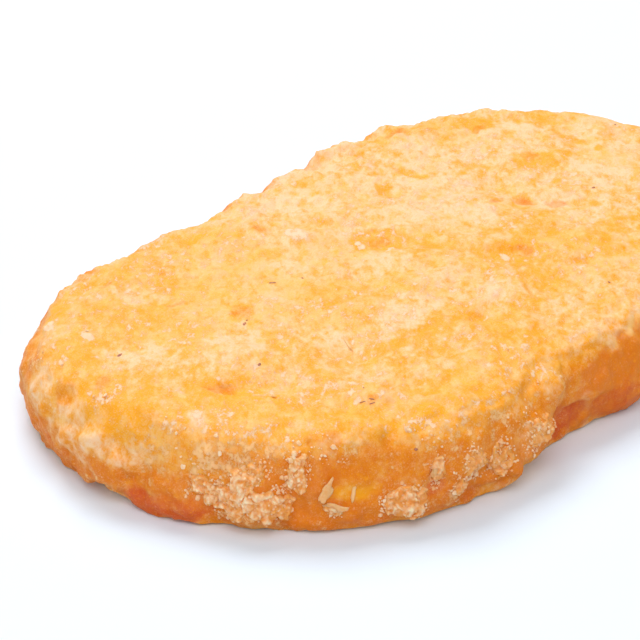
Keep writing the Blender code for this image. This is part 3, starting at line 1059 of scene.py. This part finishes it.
@dataclass
class Crust:
    """The patty's whole skin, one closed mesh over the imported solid."""

    solid: Piece
    finish: CrustFinish
    tone_map: ToneMap
    voxel: float = 0.46
    weld: float = 0.001
    levels: int = 2
    thickness: float = 12.6
    headroom: float = 0.5

    def build(self) -> Piece:
        """Model and dress the crust.

        Returns:
            The finished piece.
        """
        piece = self.copy_solid()
        self.refine(piece)
        self.roughen(piece)
        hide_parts(NODE)
        settle(piece, self.finish.make())
        return piece

    def copy_solid(self) -> Piece:
        """Copy the solid's mesh and join its loose triangles."""
        piece = bpy.data.objects.new("crust", self.solid.data.copy())
        bpy.context.scene.collection.objects.link(piece)
        make_active(piece)
        bpy.ops.object.mode_set(mode="EDIT")
        bpy.ops.mesh.select_all(action="SELECT")
        bpy.ops.mesh.remove_doubles(threshold=self.weld * MM)
        bpy.ops.object.mode_set(mode="OBJECT")
        return piece

    def refine(self, piece: Piece) -> None:
        """Round the facets off and give the mesh an even, fine grid."""
        subdivide(piece, self.levels)
        regrid(piece, self.voxel)

    def roughen(self, piece: Piece) -> None:
        """Raise the flakes, grains and lumps, and record the tones that go with them."""
        points = vertex_array(piece, "co") / MM
        normals = vertex_array(piece, "normal")
        grain = self.tone_map.grain
        top = ease(0.35, 0.85, normals[:, 2]) * ease(8.0, 11.0, points[:, 2])
        under = ease(0.5, 0.9, -normals[:, 2])
        side = np.clip(1.0 - top - under, 0.0, 1.0)

        tones = self.tone_map.at(points, normals[:, 2])
        height = self.flakes(points, grain, top, tones)
        height += self.lumps(points, grain, side, tones)
        height += self.grit(points, grain, tones)
        ragged = self.tone_map.ragged(points)
        for mark in TOP_MARKS + WALL_MARKS + SWELLS:
            if mark.lift:
                height += mark.lift * mark.mask(points, ragged)

        moved = points + normals * height[:, None]
        moved[:, 2] = np.clip(moved[:, 2], 0.0, self.thickness + self.headroom)
        piece.data.vertices.foreach_set("co", (moved * MM).astype(np.float32).ravel())
        piece.data.update()
        for tone, values in tones.items():
            write_attribute(piece, tone.value, np.clip(values, 0.0, 1.0))

    def flakes(self, points: Array, grain: Grain, top: Array, tones: dict) -> Array:
        """Return the height of the low overlapping flakes, and tint each one."""
        bent = grain.warp(points, 3.0, 1.4)
        _, border, own = grain.cells(bent, 4.6)
        _, rim, inner = grain.cells(grain.warp(points, 1.6, 0.7) + 5.0, 2.1)
        height = (own - 0.5) * 0.26 * ease(0.0, 0.22, border)
        height += (inner - 0.5) * 0.16 * ease(0.0, 0.3, rim)
        tones[CREAM] += (0.16 * (own - 0.5) + 0.14 * (inner - 0.5)) * top
        tones[AMBER] -= (0.12 * (own - 0.5) + 0.12 * (inner - 0.5)) * top
        return height * (0.35 + 0.65 * top)

    def lumps(self, points: Array, grain: Grain, side: Array, tones: dict) -> Array:
        """Return the height of the crumbly lumps of the side and of the rim's scallops."""
        bent = grain.warp(points, 2.4, 0.8)
        big = grain.pebbles(bent, 3.1)
        small = grain.pebbles(bent + 9.0, 1.5)
        broken = ease(0.38, 0.6, grain.fractal(points + 3.0, 5.0, 2))
        height = (big - 0.45) * 0.42 + (small - 0.45) * 0.3 * broken
        tones[DUST] += 0.1 * side * broken * ease(0.5, 1.0, small)
        height *= side * (0.5 + 0.5 * ease(10.5, 7.0, points[:, 2]))
        rim = ease(2.4, 0.6, np.abs(points[:, 2] - 11.0)) * ease(0.0, -25.0, -np.abs(points[:, 1]))
        return height + self.scallops(bent, grain) * rim

    def scallops(self, points: Array, grain: Grain) -> Array:
        """Return the height of the rim's notches and bumps, large and small."""
        large = grain.pebbles(points + 19.0, 3.4, 0.7) - 0.6
        return 0.36 * large + 0.3 * (grain.pebbles(points + 27.0, 1.4, 0.7) - 0.6)

    def grit(self, points: Array, grain: Grain, tones: dict) -> Array:
        """Return the height of the fine grains, thick in some places and thin in others."""
        spread = ease(0.47, 0.62, grain.fractal(points + 17.0, 5.5, 3))
        rim = ease(3.0, 0.0, np.abs(points[:, 2] - RIM_HEIGHT))
        spread = np.clip(spread * 0.7 + 0.6 * rim, 0.1, 1.0)
        grains = grain.pebbles(points, 1.15, 0.55)
        tones[DUST] += spread * 0.08 * ease(0.5, 1.0, grains)
        return spread * grains * 0.12


# ---------------- crumbs

@dataclass(frozen=True)
class CrumbSize:
    """One size of crumb: how many, and how wide."""

    count: int
    smallest: float
    largest: float


@dataclass
class Heaps:
    """Heaps of crumbs grown together: a ragged sheet that bites into the crust."""

    crust: Piece
    finish: CrumbFinish
    tone_map: ToneMap
    seed: int = 5
    levels: int = 2
    root: float = -0.14
    raggedness: float = 1.6
    edge: float = 0.22
    clearance: float = 0.03

    def build(self) -> Piece:
        """Cut the sheet out of the crust's mesh and raise its crumbs.

        Returns:
            The finished piece.
        """
        grain = Grain(self.seed)
        points, faces = self.cut_out()
        piece = add_mesh("crumb_heaps", points, faces)
        subdivide(piece, self.levels)
        points = vertex_array(piece, "co") / MM
        normals = vertex_array(piece, "normal")
        height = self.heights(points, normals, grain)
        moved = points + normals * height[:, None]
        moved += (grain.warp(points, 0.7, 0.14) - points) * ease(0.0, 0.3, height)[:, None]
        moved[:, 2] = np.maximum(moved[:, 2], self.clearance)
        piece.data.vertices.foreach_set("co", (moved * MM).astype(np.float32).ravel())
        piece.data.update()
        tips = 0.85 * ease(0.2, 0.8, height) + 0.5 * (grain.smooth(points, 1.1) - 0.5)
        tips *= 0.5 + 0.5 * ease(-34.0, -46.0, points[:, 0])
        tint(piece, self.tone_map, tips)
        piece.data.shade_smooth()
        settle(piece, self.finish.make())
        return piece

    def cut_out(self) -> tuple:
        """Return the points and faces of the crust where there are crumbs."""
        points = vertex_array(self.crust, "co")
        field = crumb_field(points / MM, Grain(self.seed), self.raggedness)
        faces = np.array([face.vertices[:] for face in self.crust.data.polygons])
        faces = faces[field[faces].max(axis=1) > self.edge]
        used, order = np.unique(faces, return_inverse=True)
        return points[used], order.reshape(faces.shape)

    def heights(self, points: Array, normals: Array, grain: Grain) -> Array:
        """Return how far the crumbs stand out at each point, in millimetres."""
        field = crumb_field(points, grain, self.raggedness)
        field += (grain.fractal(points + 71.0, 0.7, 3) - 0.5) * 0.8
        bent = grain.warp(points, 0.9, 0.3)
        large = grain.pebbles(bent, 1.0, 0.75)
        small = grain.pebbles(bent + 7.0, 0.48, 0.7)
        crumbs = 0.1 + 0.4 * large + 0.3 * small
        low = 0.35 + 0.65 * ease(0.5, 0.85, field)
        low *= 1.0 - 0.7 * ease(0.6, 0.95, normals[:, 2])
        return self.root + ease(0.42, 0.62, field) * (crumbs * low - self.root)


def crumb_field(
    points: Array, grain: Grain, raggedness: float, banks: tuple = CRUMB_BANKS
) -> Array:
    """Return how thickly some banks lie at each point, 0 to 1.

    Args:
        points: places in millimetres, one to a row.
        grain: the noise that tears the banks' edges.
        raggedness: how far it tears them.
        banks: the banks of crumbs or of frosting.

    Returns:
        One value for each point.
    """
    ragged = (grain.fractal(points, 2.0, 3) - 0.5) * raggedness
    found = np.zeros(len(points))
    for bank in banks:
        found = np.maximum(found, (0.4 + 0.6 * bank.density) * bank.mask(points, ragged))
    return found


def tint(piece: Piece, tone_map: ToneMap, height: Array) -> None:
    """Record how deep each point of some crumbs is sunk, and how toasted it is, its toast and
    scorch partly the walls' painted shade.

    Args:
        piece: the crumbs.
        tone_map: the patty's tones.
        height: how far each vertex stands out, 0 to 1.
    """
    points = vertex_array(piece, "co") / MM
    tones = tone_map.at(points, np.full(len(points), 0.6))
    warm = 0.3 * tones[AMBER] + 0.9 * tones[TOAST_AND_SIDE_SHADE] + 0.8 * tones[SCORCH_AND_FOOT_SHADE]
    write_attribute(piece, "sunk", np.clip(1.0 - height, 0.0, 1.0))
    write_attribute(piece, "warm", np.clip(warm, 0.0, 1.0))


@dataclass
class Crumbs:
    """Loose crumbs that cling to the crust, all in one piece."""

    name: str
    crust: Piece
    finish: CrumbFinish
    tone_map: ToneMap
    size: CrumbSize
    seed: int
    flatness: float = 0.6
    shapes: int = 12
    roundness: int = 1
    scatter: float = 0.12
    clearance: float = 0.03
    least_weight: float = 1e-12

    def build(self) -> Piece:
        """Scatter the crumbs and join them.

        Returns:
            The finished piece.
        """
        draw = np.random.default_rng(self.seed)
        centres, normals, areas = self.crust_faces()
        weight = self.density(centres, normals) * areas
        weight /= weight.sum()
        shapes = [self.shape(number) for number in range(self.shapes)]
        batch = Batch()
        for pick in draw.choice(len(centres), self.size.count, p=weight):
            corner, triangle = shapes[draw.integers(self.shapes)]
            radius = self.radius(draw)
            turned = corner @ self.turn(draw).T * radius * draw.uniform(0.7, 1.25, 3)
            up = normals[pick]
            flat = self.flatness * (0.4 + 0.6 * ease(0.3, 0.9, up[2]))
            turned -= np.outer(turned @ up, up) * flat
            lift = radius * draw.uniform(-0.5, 0.1) * (1.0 - flat)
            spot = centres[pick] + draw.normal(size=3) * self.scatter
            batch.add(turned + spot + up * lift, triangle)
        piece = batch.make(self.name, self.clearance)
        points = vertex_array(piece, "co") / MM
        tint(piece, self.tone_map, 0.3 + 0.6 * Grain(self.seed).smooth(points, 1.3))
        piece.data.shade_flat()
        settle(piece, self.finish.make())
        return piece

    def crust_faces(self) -> tuple:
        """Return the middle, normal and area of each face of the crust, in millimetres."""
        mesh = self.crust.data
        count = len(mesh.polygons)
        centres, normals, areas = np.empty(count * 3), np.empty(count * 3), np.empty(count)
        mesh.polygons.foreach_get("center", centres)
        mesh.polygons.foreach_get("normal", normals)
        mesh.polygons.foreach_get("area", areas)
        return centres.reshape(-1, 3) / MM, normals.reshape(-1, 3), areas

    def density(self, centres: Array, normals: Array) -> Array:
        """Return how thickly the crumbs lie at each face of the crust."""
        grain = Grain(self.seed)
        low = ease(0.3, 1.4, centres[:, 2])
        flat = ease(0.75, 0.95, np.abs(normals[:, 2]))
        heaped = crumb_field(centres, grain, 2.4) * (1.0 - 0.8 * flat)
        frosted = crumb_field(centres, grain, 2.8, FROST_BANKS) * (1.0 - 0.9 * flat)
        patchy = ease(0.45, 0.6, grain.fractal(centres + 13.0, 1.6, 2))
        return (heaped + 0.35 * frosted * patchy) * low + self.least_weight

    def radius(self, draw: np.random.Generator) -> float:
        """Draw a crumb's radius, small ones far more often than large ones."""
        share = draw.random() ** 2.2
        return 0.5 * (self.size.smallest + (self.size.largest - self.size.smallest) * share)

    def shape(self, number: int) -> tuple:
        """Model one irregular crumb of radius 1 and return its points and triangles."""
        points, triangles = ico_sphere(self.roundness)
        grain = Grain(self.seed + 97 * number)
        swell = 0.35 + 1.3 * grain.fractal(points + 3.0 * number, 0.8, 2)
        return points * swell[:, None], triangles

    def turn(self, draw: np.random.Generator) -> Array:
        """Draw a rotation as a matrix."""
        axis = Vector(draw.normal(size=3)).normalized()
        return np.array(Matrix.Rotation(draw.uniform(0.0, math.tau), 3, axis))


# ---------------- flakes and specks

@dataclass(frozen=True)
class Stuck:
    """A small thing stuck to the crust, lying along its slope."""

    x: float
    y: float
    z: float
    length: float
    width: float
    turn: float
    rise: float = 0.0
    thickness: float = 0.16

    def lay(self, tree: BVHTree, points: Array) -> Array:
        """Move the thing's points to its place on the crust.

        Args:
            tree: the crust's faces.
            points: the thing lying flat at the origin, in millimetres.

        Returns:
            The moved points.
        """
        spot, up, _, _ = tree.find_nearest(Vector((self.x, self.y, self.z)) * MM)
        return points @ facing(up, self.turn).T + np.array(spot) / MM + np.array(up) * self.rise


FLAKES = (
    Stuck(-47.5, -24.0, 6.0, 2.9, 1.3, 62, 0.2, 0.3),
    Stuck(-47.2, -24.4, 3.7, 4.2, 2.0, 12, 0.05, 0.3),
    Stuck(-45.4, -26.2, 5.6, 2.4, 0.5, 80, 0.08, 0.3),
    Stuck(-42.5, -8.6, 12.0, 4.6, 0.6, -60, 0.0, 0.35),
    Stuck(-26.0, -8.5, 12.0, 3.8, 0.5, 60, -0.02, 0.35),
    Stuck(-36.4, -31.2, 6.6, 2.4, 0.9, 65, 0.15, 0.4),
    Stuck(30.0, 31.5, 6.0, 3.4, 1.4, 20, 0.02, 0.3),
    Stuck(-8.0, 31.5, 5.0, 2.8, 1.1, 70, 0.08, 0.3),
    Stuck(-30.0, 31.0, 8.0, 2.6, 1.2, 10, 0.05, 0.3),
    Stuck(57.0, 8.0, 6.0, 3.0, 1.3, 40, 0.04, 0.3),
    Stuck(50.0, -20.0, 7.0, 2.8, 1.1, 75, 0.06, 0.3),
    Stuck(24.0, -34.0, 4.0, 3.2, 1.2, 15, 0.04, 0.3),
    Stuck(40.0, -28.0, 11.0, 2.8, 1.2, 30, 0.0, 0.3),
)


@dataclass
class Flakes:
    """Pale, thin flakes and shreds of potato."""

    crust: Piece
    finish: CrumbFinish
    tone_map: ToneMap
    seed: int = 21
    roundness: int = 4
    bend: float = 0.15

    def build(self) -> Piece:
        """Lay each flake on the crust and join them.

        Returns:
            The finished piece.
        """
        tree = surface_tree(self.crust)
        batch = Batch()
        for number, flake in enumerate(FLAKES):
            points, triangles = self.shape(flake, number)
            batch.add(flake.lay(tree, points), triangles)
        piece = batch.make("flakes")
        points = vertex_array(piece, "co") / MM
        grain = Grain(self.seed)
        tones = self.tone_map.at(points, np.full(len(points), 0.6))
        write_attribute(piece, "sunk", 0.1 + 0.5 * grain.smooth(points, 1.2))
        # The flakes take the crust's toast, which on the walls is partly painted shade.
        write_attribute(piece, "warm", np.clip(0.7 * tones[TOAST_AND_SIDE_SHADE], 0.0, 1.0))
        piece.data.shade_smooth()
        settle(piece, self.finish.make())
        return piece

    def shape(self, flake: Stuck, number: int) -> tuple:
        """Model one flake, lying flat, and return its points and triangles."""
        points, triangles = ico_sphere(self.roundness)
        grain = Grain(self.seed + number)
        edge = 0.3 + 1.4 * grain.fractal(points * np.array((1.0, 1.0, 0.2)) + number, 0.6, 4)
        points[:, :2] *= edge[:, None]
        points *= np.array((flake.length, flake.width, flake.thickness)) * 0.5
        points[:, 2] += self.bend * (grain.smooth(points + 5.0, 1.5) - 0.5) * 2.0
        return points, triangles


SPECKS = (
    Stuck(-47.5, 10.0, 12.0, 1.2, 0.45, 5),
    Stuck(-20.5, 9.2, 12.0, 1.0, 0.5, -60),
    Stuck(-31.5, 3.8, 12.0, 0.9, 0.4, 30),
    Stuck(-30.6, 4.2, 12.0, 0.4, 0.25, 0),
    Stuck(-38.0, -4.8, 12.0, 0.55, 0.4, 40),
    Stuck(-17.0, 7.0, 12.0, 0.5, 0.25, 60),
    Stuck(31.0, -5.0, 12.0, 0.6, 0.4, 0),
    Stuck(-36.6, -20.0, 12.0, 0.9, 0.22, 80),
    Stuck(-35.7, -20.6, 12.0, 0.8, 0.22, 10),
    Stuck(-36.3, -21.2, 12.0, 0.8, 0.2, -20),
    Stuck(-33.9, -17.8, 12.0, 1.1, 0.2, 60),
    Stuck(-37.5, -29.0, 9.0, 0.5, 0.4, 0),
    Stuck(44.0, -18.0, 12.0, 0.7, 0.4, 20),
    Stuck(8.0, -24.0, 12.0, 0.6, 0.35, 70),
    Stuck(52.0, 6.0, 12.0, 0.8, 0.3, 35),
    Stuck(20.0, 34.0, 6.0, 0.8, 0.4, 35),
    Stuck(-5.0, 32.0, 7.0, 0.7, 0.4, 65),
    Stuck(10.0, 10.0, 0.0, 0.9, 0.4, 15),
    Stuck(-25.0, -14.0, 0.0, 0.8, 0.5, 75),
)


@dataclass
class Specks:
    """Small dark bits, half sunk in the crust."""

    crust: Piece
    finish: SpeckFinish
    seed: int = 60
    roundness: int = 2

    def build(self) -> Piece:
        """Lay each speck on the crust and join them.

        Returns:
            The finished piece.
        """
        tree = surface_tree(self.crust)
        ball, triangles = ico_sphere(self.roundness)
        batch = Batch()
        for number, speck in enumerate(SPECKS):
            swell = 0.7 + 0.6 * Grain(number + self.seed).fractal(ball + number, 0.9, 2)
            points = ball * swell[:, None]
            points *= np.array((speck.length, speck.width, speck.thickness)) * 0.5
            batch.add(speck.lay(tree, points), triangles)
        piece = batch.make("specks")
        piece.data.shade_smooth()
        settle(piece, self.finish.make())
        return piece


# ---------------- floor, light, camera

@dataclass(frozen=True)
class Lamp:
    """A square light that faces the patty, placed by steps in metres from the origin."""

    name: str
    up: float
    away: float
    right: float
    size: float
    power: float


LAMPS = (
    Lamp("key", 1.0, 0.72, -0.25, 0.7, 11.2),
    Lamp("front fill", 1.0, -0.62, 0.0, 0.8, 5.2),
    Lamp("left fill", 0.7, -0.75, -0.85, 0.8, 1.9),
    Lamp("right fill", 0.55, -0.8, 0.75, 0.8, 1.2),
)


@dataclass
class Studio:
    """The pale floor, the soft light and the camera."""

    aim: tuple = (-16.4, 4.2, 6.0)
    heading: float = -48.61
    elevation: float = 27.72
    distance: float = 315.0
    lens: float = 135.4
    frame_shift: tuple = (-0.2, 0.2)
    floor_size: float = 8.0
    near_clip: float = 0.01
    room_light: tuple = (1.0, 1.0, 1.0, 1.0)
    room_strength: float = 0.37

    def build(self) -> None:
        """Make everything round the patty."""
        self.add_floor()
        self.add_lights()
        self.add_camera()
        bpy.context.scene.view_settings.view_transform = "Standard"

    def add_floor(self) -> None:
        """Lay a plain pale floor under the patty."""
        deselect_all()
        bpy.ops.mesh.primitive_plane_add(size=self.floor_size, location=(0.0, 0.0, 0.0))
        floor = bpy.context.object
        floor.name = "floor"
        floor.data.materials.append(FloorFinish().make())

    def add_lights(self) -> None:
        """Hang the soft lights, and light the room."""
        right, away = self.axes()
        for lamp in LAMPS:
            spot = Vector((0.0, 0.0, lamp.up)) + away * lamp.away + right * lamp.right
            data = bpy.data.lights.new(lamp.name, "AREA")
            data.shape = "SQUARE"
            data.size = lamp.size
            data.energy = lamp.power
            light = bpy.data.objects.new(lamp.name, data)
            light.location = spot
            light.rotation_euler = (-spot).to_track_quat("-Z", "Y").to_euler()
            bpy.context.scene.collection.objects.link(light)
        world = bpy.data.worlds.new("room")
        world.use_nodes = True
        background = world.node_tree.nodes["Background"].inputs
        background["Color"].default_value = self.room_light
        background["Strength"].default_value = self.room_strength
        bpy.context.scene.world = world

    def axes(self) -> tuple:
        """Return the camera's right and its level way forward."""
        heading = math.radians(self.heading)
        away = Vector((-math.sin(heading), math.cos(heading), 0.0))
        return away.cross(Vector((0.0, 0.0, 1.0))), away

    def add_camera(self) -> None:
        """Place the camera."""
        right, away = self.axes()
        rise = math.radians(self.elevation)
        forward = away * math.cos(rise) - Vector((0.0, 0.0, math.sin(rise)))
        upward = right.cross(forward)
        spot = Vector(self.aim) - forward * self.distance
        spot += right * self.frame_shift[0] + upward * self.frame_shift[1]
        data = bpy.data.cameras.new("camera")
        data.lens = self.lens
        data.clip_start = self.near_clip
        camera = bpy.data.objects.new("camera", data)
        camera.location = spot * MM
        camera.rotation_euler = forward.to_track_quat("-Z", "Y").to_euler()
        bpy.context.scene.collection.objects.link(camera)
        bpy.context.scene.camera = camera


def main() -> None:
    """Build every piece of the patty, and the studio round it."""
    logging.basicConfig(level=logging.INFO, format="%(message)s")
    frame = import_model()
    tone_map = ToneMap()
    crust = Crust(frame["nodes"][NODE], CrustFinish(), tone_map).build()
    pale = CrumbFinish("pale_crumb")
    Heaps(crust, pale, tone_map).build()
    loose = CrumbFinish("loose_crumb", subsurface=0.0)
    Crumbs("coarse_crumbs", crust, loose, tone_map, CrumbSize(900, 0.3, 0.8), 6).build()
    Crumbs("fine_crumbs", crust, loose, tone_map, CrumbSize(5000, 0.14, 0.4), 7).build()
    thin = CrumbFinish("thin_flake", pale=(0.93, 0.53, 0.25, 1.0))
    Flakes(crust, thin, tone_map).build()
    Specks(crust, SpeckFinish()).build()
    Studio().build()


if __name__ == "__main__":
    main()
